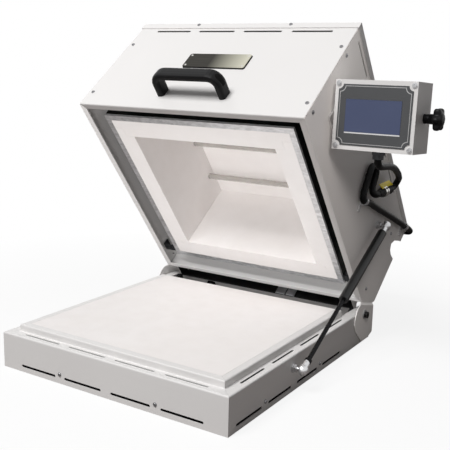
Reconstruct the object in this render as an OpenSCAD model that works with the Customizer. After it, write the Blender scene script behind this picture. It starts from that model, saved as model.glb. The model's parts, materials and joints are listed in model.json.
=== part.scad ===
// Clamshell jewellery kiln, shown with its firing lid raised.
// Millimetres. X runs to the right, Y to the back, Z up.
// The origin is the centre of the underside of the base tray.
// Most sizes are written from the front face of the base backwards, and the
// lid is drawn shut and then turned open about the hinge.

/* [Base tray] */
// Outside width of the base and of the lid
body_w = 485; // [470:1:520]
// Depth of the base tray
base_d = 546; // [540:1:570]
// Height of the tray up to its ledge
tray_h = 66; // [62:1:75]
// Width of the ledge that runs round the hearth
ledge_w = 21; // [18:0.5:26]
// Height of the rim that stands up from the ledge
rim_h = 12.6; // [8:0.1:18]
// Width of the flat lip on the rim, beside the hearth
lip_w = 14; // [8:0.5:18]
// Depth of the hearth board from its front edge to its rear edge
hearth_d = 412; // [400:1:420]
// Thickness of the hearth board
hearth_t = 25.4; // [18:0.1:32]
// Sheet thickness of the tray and of the lid covers
sheet = 1.5; // [1:0.1:2]
// Inside radius of the bends in the sheet
bend_r = 1.2; // [0.6:0.1:2]

/* [Lid] */
// Depth of the lid's firing box
lid_d = 482; // [470:1:500]
// Height of the lid from its flange to its top
lid_h = 260; // [245:1:290]
// Width of the flange round the lid's opening
flange_w = 11.6; // [8:0.1:14]
// Gap between the ledge and the flange when the lid is shut
flange_gap = 1; // [0.6:0.1:2]
// How far the side panels reach behind the firing box
arm_back = 50; // [44:1:60]
// Sheet thickness of the side panels, which carry the hinge
side_sheet = 2; // [1.5:0.1:3]
// Depth of the lip of the top cover
cap_lip = 14.7; // [10:0.1:20]
// Depth of the wiring cover on the lid's rear wall
cover_depth = 32; // [24:1:36]

/* [Hinge] */
// Distance of the pivot from the rear of the base
hinge_back = 37.7; // [36:0.1:44]
// Depth of the pivot below the ledge
hinge_drop = 7.5; // [7:0.5:9]
// Angle between the shut lid and the open lid
open_angle = 52.8; // [45:0.1:54]
// Diameter of the pivot bolt
pivot_d = 8; // [6:0.5:8]
// Distance of the fold line in the lug from the pivot
fold_dist = 24; // [22:0.5:27]

/* [Firing chamber] */
// Clear width of the chamber
chamber_w = 314; // [290:1:320]
// Clear depth of the chamber
chamber_d = 308; // [290:1:314]
// Clear height of the chamber
chamber_h = 165; // [140:1:175]
// Thickness of the fibre wall boards
wall_t = 38.5; // [30:0.5:40]
// Thickness of the fibre roof board
roof_t = 38; // [25:0.5:40]
// Width of the galvanised frame round the fibre
frame_w = 12; // [8:0.5:14]
// Outside diameter of the quartz tubes
tube_d = 12; // [9:0.5:14]
// Distance between neighbouring quartz tubes
tube_pitch = 99; // [85:1:104]
// Drop of the tubes below the roof of the chamber
tube_drop = 16; // [10:1:24]
// Wire thickness of the heating coils
wire_d = 1.4; // [1:0.1:1.8]

/* [Handle and nameplate] */
// Distance between the feet of the handle
handle_span = 134; // [110:1:160]
// Height of the handle above the panel
handle_out = 50; // [40:1:60]
// Width of the grip
grip_w = 25; // [20:1:30]
// Thickness of the grip
grip_t = 15; // [12:1:18]
// Height of the handle's middle above the flange
handle_up = 45; // [38:1:60]
// Width of the nameplate
plate_w = 137; // [100:1:160]
// Height of the nameplate
plate_h = 41; // [30:1:50]
// Height of the nameplate's middle above the flange
plate_up = 140; // [125:1:160]

/* [Gas spring] */
// Lower ball, from the front of the base
ball_low_y = 205; // [195:1:215]
// Lower ball, height
ball_low_z = 44; // [38:1:48]
// Upper ball with the lid shut, from the front of the base
ball_up_y = 395; // [388:1:402]
// Upper ball with the lid shut, height
ball_up_z = 203; // [196:1:210]
// Distance of the balls from the side of the base
ball_out = 18.5; // [17:0.5:24]
// Rod diameter
rod_d = 8; // [6:0.5:10]
// Cylinder diameter
cyl_d = 18; // [15:0.5:20]
// Diameter of the steel balls
ball_d = 13; // [10:0.5:14]

/* [Controller] */
// Tilt axis with the lid shut, from the front of the base
tilt_y = 76.3; // [70:0.1:90]
// Tilt axis with the lid shut, above the flange
tilt_up = 102; // [95:1:110]
// Width of the control box
box_w = 142; // [130:1:160]
// Height of the control box
box_h = 116; // [105:1:125]
// Depth of the control box
box_d = 71; // [60:1:80]
// Gap between the lid and the control box
box_gap = 11.5; // [10:0.5:16]
// Lean of the control box from upright
box_lean = 3; // [0:0.5:8]
// Distance of the tilt axis behind the front of the box
axis_back = 41; // [34:1:46]
// Diameter of the tilt rod
tilt_rod_d = 8; // [6:0.5:10]
// Diameter of the clamping knob
knob_d = 40; // [30:1:46]
// Width of the touch screen
screen_w = 97; // [85:1:105]
// Height of the touch screen
screen_h = 54; // [45:1:58]

/* [Vents and screws] */
// Length of a vent slot across the front
slot_len = 83; // [70:1:90]
// Distance between neighbouring slots across the front
slot_pitch = 104; // [100:1:108]
// Length of a vent slot along the sides
side_slot_len = 79; // [65:1:85]
// Distance between neighbouring slots along the sides
side_slot_pitch = 100.3; // [95:0.1:102]
// Height of a vent slot
slot_h = 5; // [3:0.5:6]
// Diameter of a cover screw's head
screw_d = 7; // [5:0.5:8]

/* [Cable] */
// Diameter of the controller cable
cable_d = 13; // [10:0.5:14]

/* [Hidden] */
$fn = 48;

white = [0.86, 0.84, 0.83];
fibre = [0.95, 0.93, 0.92];
galvanised = [0.62, 0.64, 0.67];
steel = [0.75, 0.75, 0.76];
black = [0.08, 0.08, 0.09];

fit = 0.3;            // gap between still pieces that lie beside each other
running = 0.05;       // radial gap of a shaft in its bearing
bend_steps = 3;       // flats in a bend of the sheet
half_w = body_w / 2;
hinge_y = base_d - hinge_back;
hinge_z = tray_h - hinge_drop;
rim_in = ledge_w + lip_w;
hearth_top = tray_h + rim_h;
rim_end = rim_in + hearth_d;
flange_z = tray_h + flange_gap;
lid_top = flange_z + lid_h;
fibre_face = hearth_top + 0.5;
chamber_y = lid_d / 2;
chamber_top = fibre_face + chamber_h;
block_w = chamber_w + 2 * wall_t;
block_d = chamber_d + 2 * wall_t;
case_w = block_w + 2 * frame_w;
case_d = block_d + 2 * frame_w;
case_sheet = 1;
roof_back_t = 20;
probe_x = 60;         // thermocouple, in the front wall
probe_z = chamber_top - 60;
probe_d = 6;
probe_in = 25;
case_top = chamber_top + roof_t + roof_back_t + 1.5;
tube_z = chamber_top - tube_drop;
tube_y = [for (i = [-1:1]) chamber_y - 5 + i * tube_pitch];
screw_h = 2;
slot_columns = [-1.5, -0.5, 0.5, 1.5];
lid_slot_z = lid_top - 24;
skirt_slot_z = 11;
side_slot_mid = 212;
ledge_slot_mid = 241.5;
ledge_slot_len = side_slot_len - 4;
ledge_slot_w = 4;
skirt_screw_z = 17;
front_screw_x = slot_pitch;
side_screw_y = [side_slot_mid - side_slot_pitch, side_slot_mid + side_slot_pitch];

// The lug lies outside the base, so its sheet steps outwards at the fold line.
lug_gap = 0.8;
lug_step = lug_gap + side_sheet;
fold_dir = [cos(open_angle - 14.8), sin(open_angle - 14.8)];
fold_norm = [-fold_dir[1], fold_dir[0]];
lug_reach = 46;       // from the pivot to the rear edge, with the lid open
lug_drop = hinge_z - 3;
fold_run = 5;
fold_angle = open_angle - 14.8;
lug_nose = [-47, -11];
bush_d = min(pivot_d + 6, 2 * (hinge_drop - sheet) - 0.8);
bush_in = 20;

// The wiring cover stands between the side panels and swings into the well.
cover_half = half_w - ledge_w - 3.5;
notch_low = 163;
notch_high = 211;
notch_deep = 39;

spring_x = half_w + ball_out;
ball_low = [ball_low_y, ball_low_z];
ball_up = turned([ball_up_y, ball_up_z], -open_angle);
spring_vec = ball_up - ball_low;
spring_len = norm(spring_vec);
spring_angle = atan2(spring_vec[1], spring_vec[0]);
spring_stroke = spring_len - norm([ball_up_y, ball_up_z] - ball_low);
socket_len = 24;
cyl_start = socket_len + spring_stroke + 2;
cyl_len = spring_len - socket_len + 2 - cyl_start;

tilt_pos = turned([tilt_y, flange_z + tilt_up], -open_angle);
box_x = half_w + box_gap;
box_up = box_h / 2;
label_w = box_w - 13;
label_h = box_h - 15;
label_notch = 8;
knob_in = box_x + box_w + 10;

// The lead hangs from the control box, and the cable lies on the lid's side.
// Both are set out from the origin with the lid open, and the cable's far end from the lid.
cable_x = half_w + cable_d / 2 + 2;
plug_from = [half_w + 17, 232, 308];
plug_to = [half_w + 20, 290, 312];
plug_axis = unit(plug_to - plug_from);
plug_len = norm(plug_to - plug_from);
gland_back = 12;
gland_len = 16;
lead_route = [
    box_point([gland_back, -box_up - gland_len - 0.3]), box_point([gland_back, -box_up - gland_len - 3]),
    box_point([gland_back, -box_up - gland_len - 10]),
    [317, 86, 377], [313, 126, 369], [306, 168, 363], [298, 212, 356], [289, 254, 347],
    [280, 287, 336], [271, 306, 324], plug_to + plug_axis * 10, plug_to + plug_axis * 3, plug_to + plug_axis * 0.2
];
cable_route = [
    plug_from - plug_axis * 0.2, plug_from - plug_axis * 3, plug_from - plug_axis * 9,
    [cable_x + 4, 215, 314], [cable_x + 2, 214, 326],
    [cable_x + 2, 219, 341], [cable_x + 2, 220, 354], [cable_x + 1, 211, 365], [cable_x, 196, 367],
    [cable_x, 182, 358], [cable_x, 173, 342], [cable_x, 169, 325], [cable_x, 173, 309],
    [cable_x, 186, 299], [cable_x, 206, 294], [cable_x, 240, 281], [cable_x, 290, 262],
    [cable_x, 341, 243], [cable_x, 390, 224], [cable_x, 422, 211],
    lid_point(cable_x, -2, -10), lid_point(cable_x - 0.6, 6, -7), lid_point(cable_x - 4, 10, -6),
    lid_point(half_w - 3, 11, -6), lid_point(half_w - 20, 11, -6), lid_point(half_w - 44, 11, -6)
];

function rot2(v, w) = [v[0] * cos(w) - v[1] * sin(w), v[0] * sin(w) + v[1] * cos(w)];
function unit(v) = v / norm(v);
function left_of(v) = [-v[1], v[0]];

// A point on the control box, and one near the rear top edge of the lid.
function box_point(v) = let (p = tilt_pos + rot2(v, -box_lean)) [box_x + box_w * 0.45, p[0] - base_d / 2, p[1]];
function lid_point(x, y, z) =
    let (p = turned([lid_d + arm_back + y, lid_top + z], -open_angle)) [x, p[0] - base_d / 2, p[1]];

// Turns a point in the Y-Z plane about the hinge; a positive angle shuts the lid.
function turned(p, w) = [hinge_y, hinge_z] + rot2(p - [hinge_y, hinge_z], w);

// A bent sheet is a path of straight stretches, with its thickness on the left.
function corner(p, a, b, r) =
    let (s = sign(cross(a, b)), w = acos(a * b), c = p - a * r * tan(w / 2) + left_of(a) * r * s)
    [for (i = [0:bend_steps]) c + rot2(left_of(a) * -r * s, s * w * i / bend_steps)];

function bent(path, off, thick) =
    let (n = len(path))
    [for (i = [0:n - 1]) each
        i == 0 ? [path[0] + left_of(unit(path[1] - path[0])) * off] :
        i == n - 1 ? [path[i] + left_of(unit(path[i] - path[i - 1])) * off] :
        let (a = unit(path[i] - path[i - 1]), b = unit(path[i + 1] - path[i]))
        let (inner = (cross(a, b) > 0) == (off > 0))
        corner(path[i] + (left_of(a) + left_of(b)) * off / (1 + a * b), a, b,
            inner ? bend_r : bend_r + thick)];

function reversed(list) = [for (i = [len(list) - 1:-1:0]) list[i]];

module sheet_profile(path, thick) {
    polygon(concat(bent(path, 0, thick), reversed(bent(path, thick, thick))));
}

// Extrudes a profile of (Y, Z) points along X, from x to x + length.
module along_x(x, length) {
    translate([x, 0, 0]) rotate([90, 0, 90]) linear_extrude(length) children();
}

// Extrudes a profile of (X, Z) points along Y, from y to y + length.
module along_y(y, length) {
    translate([0, y + length, 0]) rotate([90, 0, 0]) linear_extrude(length) children();
}

module from_front() {
    translate([0, -base_d / 2, 0]) children();
}

// Places what is drawn with the lid shut.
module on_lid() {
    from_front() translate([0, hinge_y, hinge_z]) rotate([-open_angle, 0, 0])
        translate([0, -hinge_y, -hinge_z]) children();
}

module slot2(length, high) {
    square([length - high, high], center = true);
    for (s = [-1, 1]) translate([s * (length - high) / 2, 0]) circle(d = high);
}

module rounded_rect(w, h, r) {
    square([w - 2 * r, h], center = true);
    square([w, h - 2 * r], center = true);
    for (x = [-1, 1], y = [-1, 1]) translate([x * (w / 2 - r), y * (h / 2 - r)]) circle(r);
}

// A tube of any section along a list of points, with its frame carried along.
function tangents(p) =
    [for (i = [0:len(p) - 1]) unit(p[min(i + 1, len(p) - 1)] - p[max(i - 1, 0)])];
function carried(t, u0) =
    [for (i = 0, u = unit(u0 - t[0] * (u0 * t[0])); i < len(t);
        i = i + 1, u = i < len(t) ? unit(u - t[i] * (u * t[i])) : u) u];

module swept(points, section, side) {
    n = len(section);
    m = len(points);
    t = tangents(points);
    u = carried(t, side);
    rings = [for (i = [0:m - 1]) let (w = cross(t[i], u[i])) each
        [for (q = section) points[i] + u[i] * q[0] + w * q[1]]];
    walls = [for (i = [0:m - 2], k = [0:n - 1]) let (a = i * n + k, b = i * n + (k + 1) % n) each
        [[a, a + n, b], [b, a + n, b + n]]];
    first = [for (k = [1:n - 2]) [0, k, k + 1]];
    last = [for (k = [1:n - 2]) [(m - 1) * n, (m - 1) * n + k + 1, (m - 1) * n + k]];
    polyhedron(rings, concat(walls, first, last));
}

function ring(r, n) = [for (k = [0:n - 1]) [cos(360 * k / n), sin(360 * k / n)] * r];

// Two extra points on each stretch of a route, on a smooth curve.
function smooth(p) = concat([for (i = [0:len(p) - 2], s = [0, 1/3, 2/3])
    let (a = p[max(i - 1, 0)], b = p[i], c = p[i + 1], d = p[min(i + 2, len(p) - 1)])
    0.5 * (2 * b + (c - a) * s + (2 * a - 5 * b + 4 * c - d) * s * s
        + (3 * b - a - 3 * c + d) * s * s * s)], [p[len(p) - 1]]);

module front_slots(z, thick) {
    for (c = slot_columns) along_face(c * slot_pitch, z) linear_extrude(thick) slot2(slot_len, slot_h);
}

module along_face(x, z) {
    translate([x, -1, z]) rotate([-90, 0, 0]) children();
}

module side_slots(mid, z, length) {
    for (c = slot_columns) translate([-half_w - 4, mid + c * side_slot_pitch, z])
        rotate([90, 0, 90]) linear_extrude(12) slot2(length, slot_h);
}

// Base tray

rim_path = [[rim_in, hearth_top], [ledge_w, hearth_top], [ledge_w, tray_h], [0, tray_h], [0, 0]];
ledge_path = [[ledge_w, tray_h], [0, tray_h], [0, 0]];

module mitre_front() {
    k = rim_in + 2;
    translate([0, 0, -1]) linear_extrude(hearth_top + 2)
        polygon([[-half_w + fit / 2, 0], [half_w - fit / 2, 0], [half_w - k - fit / 2, k],
            [-half_w + k + fit / 2, k]]);
}

module base_front_panel() {
    color(white) from_front() difference() {
        intersection() {
            along_x(-half_w, body_w) sheet_profile(rim_path, sheet);
            mitre_front();
        }
        front_slots(skirt_slot_z, 6);
        for (c = slot_columns) translate([c * slot_pitch, 12.5, tray_h - 5])
            linear_extrude(8) slot2(slot_len, ledge_slot_w);
        at_base_screws() screw_hole();
    }
}

module base_side() {
    from_front() difference() {
        intersection() {
            union() {
                translate([-half_w, 0, 0]) along_y(0, rim_end) sheet_profile(rim_path, sheet);
                translate([-half_w, 0, 0]) along_y(rim_end - 1, base_d - sheet - fit - rim_end + 1)
                    sheet_profile(ledge_path, sheet);
            }
            translate([0, 0, -1]) linear_extrude(hearth_top + 2)
                polygon([[-half_w - 1, fit - 1], [-half_w + rim_in + 2, rim_in + 2 + fit],
                    [-half_w + rim_in + 2, base_d], [-half_w - 1, base_d]]);
        }
        side_slots(side_slot_mid, skirt_slot_z, side_slot_len);
        for (c = slot_columns)
            translate([-half_w + 12.5, ledge_slot_mid + c * (side_slot_pitch + 0.6), tray_h - 5])
                rotate([0, 0, 90]) linear_extrude(8) slot2(ledge_slot_len, ledge_slot_w);
        translate([-half_w - 1, hinge_y, hinge_z]) rotate([0, 90, 0]) cylinder(d = bush_d + 0.2, h = 6);
        // Relief for the fold of the lug, which dips below the ledge when the lid is shut.
        translate([-half_w - 1, hinge_y - 36, hinge_z - 4]) cube([4, 19, hinge_drop + 5]);
        translate([-half_w - 1, ball_low_y, ball_low_z]) rotate([0, 90, 0]) cylinder(d = 8.4, h = 6);
        at_base_screws() screw_hole();
    }
}

module base_left_panel() {
    color(white) base_side();
}

module base_right_panel() {
    color(white) mirror([1, 0, 0]) base_side();
}

module base_rear_panel() {
    color(white) from_front() difference() {
        along_x(-half_w + sheet + fit, body_w - 2 * (sheet + fit)) sheet_profile(
            [[base_d - 12, sheet], [base_d, sheet], [base_d, tray_h], [base_d - 10, tray_h]],
            sheet);
        for (s = [-1, 1]) translate([s * (half_w - 16), base_d - 6, tray_h - 5]) cube([30, 14, 14], true);
        for (c = slot_columns) translate([c * slot_pitch, base_d - 4, skirt_slot_z + 4]) rotate([-90, 0, 0])
            linear_extrude(6) slot2(slot_len, slot_h);
        translate([-150, base_d - 4, 42]) rotate([-90, 0, 0]) cylinder(d = 20.4, h = 6);
    }
}

module base_pan() {
    edge = sheet + fit;
    color(galvanised) from_front() difference() {
        translate([-half_w + edge, edge, 0]) cube([body_w - 2 * edge, base_d - 2 * edge, sheet]);
        for (x = [-2:2], y = [0:3]) translate([x * 80, 120 + y * 90, -1]) rotate([0, 0, 90])
            linear_extrude(4) slot2(50, slot_h);
    }
}

module hearth_board() {
    color(fibre) from_front()
        translate([-half_w + rim_in + fit, rim_in + fit, hearth_top - hearth_t])
            cube([body_w - 2 * rim_in - 2 * fit, hearth_d - 2 * fit, hearth_t]);
}

hearth_low = 16;

module hearth_insulation() {
    color([0.9, 0.87, 0.84]) from_front()
        translate([-half_w + ledge_w + 2 * sheet, ledge_w + 2 * sheet, hearth_low + fit])
            cube([body_w - 2 * ledge_w - 4 * sheet, rim_end - ledge_w - 3 * sheet,
                hearth_top - hearth_t - hearth_low - 2 * fit]);
}

module hearth_supports() {
    color(galvanised) from_front() for (x = [-1, 1])
        translate([x * 110, 0, 0]) along_y(40, rim_end - 50) sheet_profile(
            [[45, 2 * sheet], [25, 2 * sheet], [25, hearth_low], [-25, hearth_low], [-25, 2 * sheet],
            [-45, 2 * sheet]],
            sheet);
}

module well_divider() {
    color(white) from_front() along_x(-half_w + ledge_w + 2, body_w - 2 * ledge_w - 4) sheet_profile(
        [[rim_end + fit, hearth_top - 6], [rim_end + fit, sheet], [rim_end + fit + 12, sheet]], sheet);
}

module screw_head(d) {
    difference() {
        union() {
            cylinder(d = d, h = screw_h * 0.6);
            cylinder(d1 = d, d2 = d * 0.6, h = screw_h);
        }
        translate([0, 0, screw_h - 0.9]) linear_extrude(2) {
            square([d * 0.5, 1], center = true);
            square([1, d * 0.5], center = true);
        }
    }
    translate([0, 0, -5]) cylinder(d = 3, h = 5);
}

module screw_hole() {
    translate([0, 0, -6]) cylinder(d = 3.4, h = 7);
}

module at_front(x, y, z) {
    translate([x, y, z]) rotate([90, 0, 0]) children();
}

module at_side(s, y, z) {
    translate([s * half_w, y, z]) rotate([0, s * 90, 0]) children();
}

module at_base_screws() {
    for (s = [-1, 1]) at_front(s * front_screw_x, 0, skirt_screw_z) children();
    for (s = [-1, 1], y = side_screw_y) at_side(s, y, skirt_screw_z) children();
}

module base_screws() {
    color(steel) from_front() at_base_screws() screw_head(screw_d);
}

module hinge_bushes() {
    color(steel) from_front() for (s = [-1, 1]) translate([s * (half_w - bush_in), hinge_y, hinge_z])
        rotate([0, s * 90, 0]) difference() {
            cylinder(d = bush_d, h = bush_in + lug_gap - 0.2);
            translate([0, 0, -1]) cylinder(d = pivot_d + 2 * running, h = bush_in + 4);
        }
}

module lower_ball_stud() {
    color(steel) from_front() translate([half_w, ball_low_y, ball_low_z]) rotate([0, 90, 0]) {
        translate([0, 0, -sheet - 7]) cylinder(d = 15, h = 6.8, $fn = 6);
        translate([0, 0, -sheet - 10]) cylinder(d = 8, h = ball_out + sheet + 4);
        cylinder(d = 17, h = 1.6);
        cylinder(d = 15, h = 8, $fn = 6);
        translate([0, 0, ball_out]) sphere(d = ball_d);
    }
}

module power_gland() {
    color(black) from_front() translate([-150, base_d, 42]) rotate([-90, 0, 0]) difference() {
        union() {
            cylinder(d = 27, h = 7, $fn = 6);
            cylinder(d = 22, h = 18);
            translate([0, 0, -sheet - 6]) cylinder(d = 20, h = 8);
            translate([0, 0, -sheet - 6]) cylinder(d = 27, h = 5.8, $fn = 6);
        }
        translate([0, 0, -20]) cylinder(d = 11, h = 50);
    }
}

// Lid

cap_inner = half_w + 0.2;

module lid_front_panel() {
    k = flange_w + 2;
    color(white) on_lid() difference() {
        intersection() {
            along_x(-half_w, body_w) sheet_profile(
                [[0, lid_top - sheet - 0.2], [0, flange_z], [flange_w, flange_z]], sheet);
            translate([0, 0, flange_z - 1]) linear_extrude(lid_h + 4)
                polygon([[-half_w + fit / 2, -1], [half_w - fit / 2, -1], [half_w - fit / 2, 0],
                    [half_w - k - fit / 2, k], [-half_w + k + fit / 2, k], [-half_w + fit / 2, 0]]);
        }
        front_slots(lid_slot_z, 6);
        at_lid_screws() screw_hole();
    }
}

module lid_rear_panel() {
    k = flange_w + 2;
    color(white) on_lid() difference() {
        intersection() {
            along_x(-half_w + side_sheet + fit, body_w - 2 * (side_sheet + fit)) sheet_profile(
                [[lid_d - flange_w, flange_z], [lid_d, flange_z], [lid_d, lid_top - sheet - 0.2]], sheet);
            translate([0, lid_d, flange_z - 1]) linear_extrude(lid_h + 4)
                polygon([[-half_w + fit, 1], [half_w - fit, 1], [half_w - fit, 0],
                    [half_w - k - fit, -k], [-half_w + k + fit, -k], [-half_w + fit, 0]]);
        }
    }
}

// Outline of a side panel as (Y, Z) points, with the lid shut.
fold_mid = [hinge_y, hinge_z] + fold_norm * fold_dist;
fold_front = fold_mid - fold_dir * 22;
fold_rear = fold_mid + fold_dir * 41;
lug_steps = 6;

function lug_point(p) = turned([hinge_y, hinge_z] + p, open_angle);

lug_edge = concat(
    [for (i = [1:lug_steps]) let (s = i / lug_steps, a = turned(fold_front, -open_angle) - [hinge_y, hinge_z])
        lug_point((1 - s) * (1 - s) * a + 2 * s * (1 - s) * [lug_nose[0] + 1, a[1] - 9] + s * s * lug_nose)],
    [for (p = [[lug_nose[0] + 8, lug_nose[1] - 16], [-8, -lug_drop], [22, -lug_drop],
        [lug_reach - 2, -lug_drop + 6], [lug_reach, -lug_drop + 9]]) lug_point(p)]);
arm_end = lid_d + arm_back;

side_outline = concat(
    [[side_sheet, flange_z], [lid_d, flange_z], fold_front], lug_edge,
    [fold_rear, [arm_end, fold_rear[1] + 9],
    [arm_end, flange_z + notch_low], [arm_end - 18, flange_z + notch_low - 4],
    [arm_end - notch_deep + 8, flange_z + notch_low - 2], [arm_end - notch_deep, flange_z + notch_low + 9],
    [arm_end - notch_deep + 8, flange_z + notch_high - 22], [arm_end - 6, flange_z + notch_high],
    [arm_end, flange_z + notch_high + 4],
    [arm_end, lid_top - sheet - 0.2], [side_sheet, lid_top - sheet - 0.2]]);

// The fold is an offset of the whole sheet along the line at fold_dist.
module folded_plate() {
    far = 700;
    translate([0, fold_mid[0], fold_mid[1]]) rotate([fold_angle, 0, 0])
        translate([0, -far, 0]) along_y(0, 2 * far) polygon([
            [-half_w, far], [-half_w, 0], [-half_w - lug_step, -fold_run], [-half_w - lug_step, -far],
            [-half_w - lug_gap, -far], [-half_w - lug_gap, -fold_run - 0.4], [-half_w + side_sheet, -0.4],
            [-half_w + side_sheet, far]]);
}

module lid_side() {
    k = flange_w + 2;
    on_lid() difference() {
        union() {
            intersection() {
                folded_plate();
                along_x(-half_w - 20, 60) polygon(side_outline);
            }
            intersection() {
                translate([-half_w, 0, 0]) along_y(0, lid_d) sheet_profile(
                    [[0, flange_z + 20], [0, flange_z], [flange_w, flange_z]], side_sheet);
                translate([0, 0, flange_z - 1]) linear_extrude(30) polygon([
                    [-half_w - 1, side_sheet], [-half_w + side_sheet, side_sheet + fit],
                    [-half_w + k, k + fit], [-half_w + k, lid_d - k - fit],
                    [-half_w + side_sheet, lid_d - side_sheet - fit], [-half_w - 1, lid_d]]);
            }
        }
        side_slots(side_slot_mid, lid_slot_z, side_slot_len);
        at_lid_screws() screw_hole();
        translate([-half_w - 10, hinge_y, hinge_z]) rotate([0, 90, 0]) cylinder(d = pivot_d + 0.2, h = 20);
    }
}

module lid_left_side() {
    color(white) lid_side();
}

module lid_right_side() {
    color(white) difference() {
        mirror([1, 0, 0]) lid_side();
        on_lid() translate([half_w - 4, ball_up_y, ball_up_z]) rotate([0, 90, 0]) cylinder(d = 8.4, h = 8);
        on_lid() translate([half_w - 4, tilt_y, flange_z + tilt_up]) rotate([0, 90, 0])
            cylinder(d = tilt_rod_d + 0.2, h = 8);
    }
}

module lid_top_cover() {
    outer = cap_inner + sheet;
    long = arm_end + 2 * (sheet + 0.2);
    color(white) on_lid() difference() {
        translate([-outer, -sheet - 0.2, lid_top - cap_lip]) cube([2 * outer, long, cap_lip]);
        translate([-cap_inner, -0.2, lid_top - cap_lip - 1])
            cube([2 * cap_inner, long - 2 * sheet, cap_lip + 1 - sheet]);
        at_lid_screws() screw_hole();
    }
}

cover_low = flange_z + 2;
cover_back = lid_d + cover_depth;

module wiring_cover() {
    color(white) on_lid() difference() {
        translate([0, 0, cover_low]) linear_extrude(lid_top - sheet - 0.5 - cover_low) sheet_profile(
            [[cover_half - 14, lid_d + fit], [cover_half, lid_d + fit], [cover_half, cover_back],
            [-cover_half, cover_back], [-cover_half, lid_d + fit], [-cover_half + 14, lid_d + fit]], sheet);
        for (c = slot_columns, z = [40, 60, 80, 190, 210]) translate([c * slot_pitch, cover_back - 4, flange_z + z])
            rotate([-90, 0, 0]) linear_extrude(8) slot2(slot_len, slot_h);
        at_lid_screws() screw_hole();
    }
}

// Two pressed straps inside the wiring cover, seen over the rear of the hearth.
module cover_straps() {
    color(galvanised) on_lid() for (x = [[33, 22], [58, 20]])
        translate([x[0], cover_back - sheet - 3, cover_low + 1]) cube([x[1], 2.7, 150]);
}

module liner_frame() {
    color(galvanised) on_lid() translate([0, chamber_y, 0]) difference() {
        translate([-case_w / 2, -case_d / 2, fibre_face]) cube([case_w, case_d, 40]);
        translate([-case_w / 2 + case_sheet, -case_d / 2 + case_sheet, fibre_face + case_sheet])
            cube([case_w - 2 * case_sheet, case_d - 2 * case_sheet, 60]);
        translate([-block_w / 2 - fit, -block_d / 2 - fit, fibre_face - 5])
            cube([block_w + 2 * fit, block_d + 2 * fit, 60]);
    }
}

module inner_case() {
    w = case_w - 2 * case_sheet - 0.4;
    d = case_d - 2 * case_sheet - 0.4;
    low = fibre_face + 20;
    color(galvanised) on_lid() translate([0, chamber_y, 0]) {
        difference() {
            translate([-w / 2, -d / 2, low]) cube([w, d, case_top - low]);
            translate([-w / 2 + case_sheet, -d / 2 + case_sheet, low - 1])
                cube([w - 2 * case_sheet, d - 2 * case_sheet, case_top - low + 1 - case_sheet]);
            for (y = tube_y) translate([-w, y - chamber_y, tube_z]) rotate([0, 90, 0]) cylinder(d = 16, h = 2 * w);
            translate([probe_x, 0, probe_z]) rotate([90, 0, 0]) cylinder(d = 9, h = d);
        }
        for (x = [-1, 1], y = [-1, 1]) translate([x * w * 0.35, y * d * 0.35, case_top])
            cylinder(d = 14, h = lid_top - sheet - 0.3 - case_top);
    }
}

module case_insulation() {
    w = case_w - 4 * case_sheet - 1;
    d = case_d - 4 * case_sheet - 1;
    low = fibre_face + case_sheet + fit;
    high = chamber_top + roof_t;
    color([0.9, 0.88, 0.86]) on_lid() lining(-block_w / 2, block_w / 2, -block_d / 2, block_d / 2,
        chamber_top + roof_t + fit, chamber_top + roof_t + roof_back_t);
    color([0.9, 0.88, 0.86]) on_lid() translate([0, chamber_y, 0]) difference() {
        translate([-w / 2, -d / 2, low]) cube([w, d, high - low]);
        translate([-block_w / 2 - fit, -block_d / 2 - fit, low - 1]) cube([block_w + 2 * fit, block_d + 2 * fit, high]);
        for (y = tube_y) translate([-w, y - chamber_y, tube_z]) rotate([0, 90, 0]) cylinder(d = 16, h = 2 * w);
        translate([probe_x, 0, probe_z]) rotate([90, 0, 0]) cylinder(d = 9, h = d);
    }
}

bracket_l = 18;

// Brackets that tie the galvanised frame to the lid at its rear corners.
module corner_brackets() {
    x0 = case_w / 2 + fit;
    x1 = half_w - side_sheet - fit;
    y0 = chamber_y + case_d / 2 - bracket_l - 4;
    z0 = fibre_face + 4;
    color([0.25, 0.27, 0.28]) on_lid() for (s = [-1, 1]) {
        translate([s < 0 ? -x1 : x0, y0, z0]) cube([x1 - x0, bracket_l, 2]);
        translate([s < 0 ? -x1 : x1 - 2, y0, z0]) cube([2, bracket_l, 16]);
        translate([s < 0 ? -x0 - 2 : x0, y0, z0]) cube([2, bracket_l, 16]);
        translate([s * (x0 + x1) / 2, y0 + bracket_l / 2, z0 - 3.4]) cylinder(d = 8, h = 3.6, $fn = 6);
    }
}

module lining(x0, x1, y0, y1, z0, z1) {
    translate([x0, chamber_y + y0, z0]) cube([x1 - x0, y1 - y0, z1 - z0]);
}

// The wall boards are rebated into each other by half their thickness.
rebate = wall_t / 2;

module lining_across() {
    difference() {
        lining(-block_w / 2, block_w / 2, -block_d / 2, -chamber_d / 2, fibre_face, chamber_top);
        for (s = [-1, 1]) translate([s * block_w / 2, chamber_y - chamber_d / 2, chamber_top])
            cube([2 * (rebate + fit), 2 * rebate, 2 * chamber_h + 2], center = true);
    }
}

module lining_front() {
    color(fibre) on_lid() difference() {
        lining_across();
        translate([probe_x, chamber_y - chamber_d / 2 + 1, probe_z]) rotate([90, 0, 0])
            cylinder(d = probe_d + 0.4, h = wall_t + 2);
    }
}

module lining_rear() {
    color(fibre) on_lid() translate([0, 2 * chamber_y, 0]) mirror([0, 1, 0]) lining_across();
}

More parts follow.
